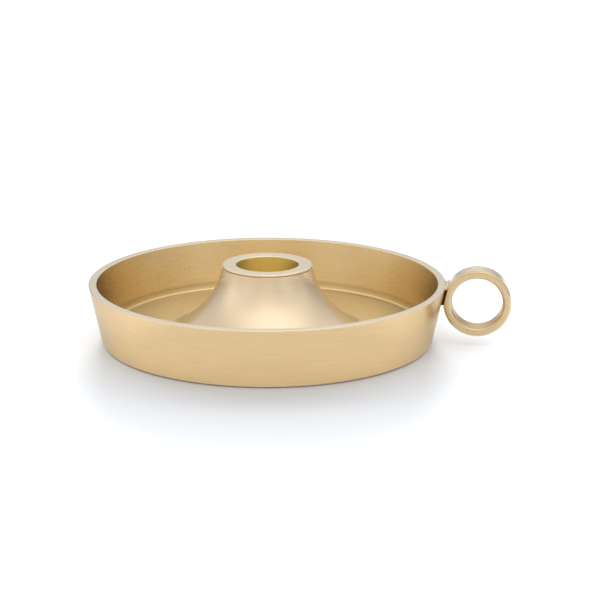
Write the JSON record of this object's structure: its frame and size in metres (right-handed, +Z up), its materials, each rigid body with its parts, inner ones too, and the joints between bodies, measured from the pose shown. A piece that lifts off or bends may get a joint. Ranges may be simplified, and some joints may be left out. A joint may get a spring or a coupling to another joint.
{
  "type": "chamberstick candle holder",
  "caption": "Brass chamberstick: a low dish with a tapered wall, a flared cone in the middle that holds a dinner candle, and a fixed finger ring on the wall.",
  "frame": {"origin": "on the lathe axis of the dish, at the underside of the felt, where it meets the table", "axes": "+Z up along the lathe axis, +X towards the finger ring"},
  "size_m": [0.1537, 0.13, 0.0284],
  "materials": {
    "dish_brass": "satin, turned with fine circular brush lines",
    "cone_brass": "satin, turned with fine circular brush lines",
    "cup_brass": "smooth satin bore, turned collar",
    "ring_brass": "satin with softly rounded edges",
    "lug_brass": "satin braze",
    "screw_steel": "zinc plated",
    "washer_steel": "zinc plated",
    "felt": "pressed wool felt"
  },
  "bodies": {
    "root": {"dish_pan": "dish_brass", "candle_cone": "cone_brass", "candle_cup": "cup_brass", "finger_ring": "ring_brass", "ring_lug": "lug_brass", "clamp_screw": "screw_steel", "spring_washer": "washer_steel", "base_felt": "felt"}
  },
  "joints": []
}
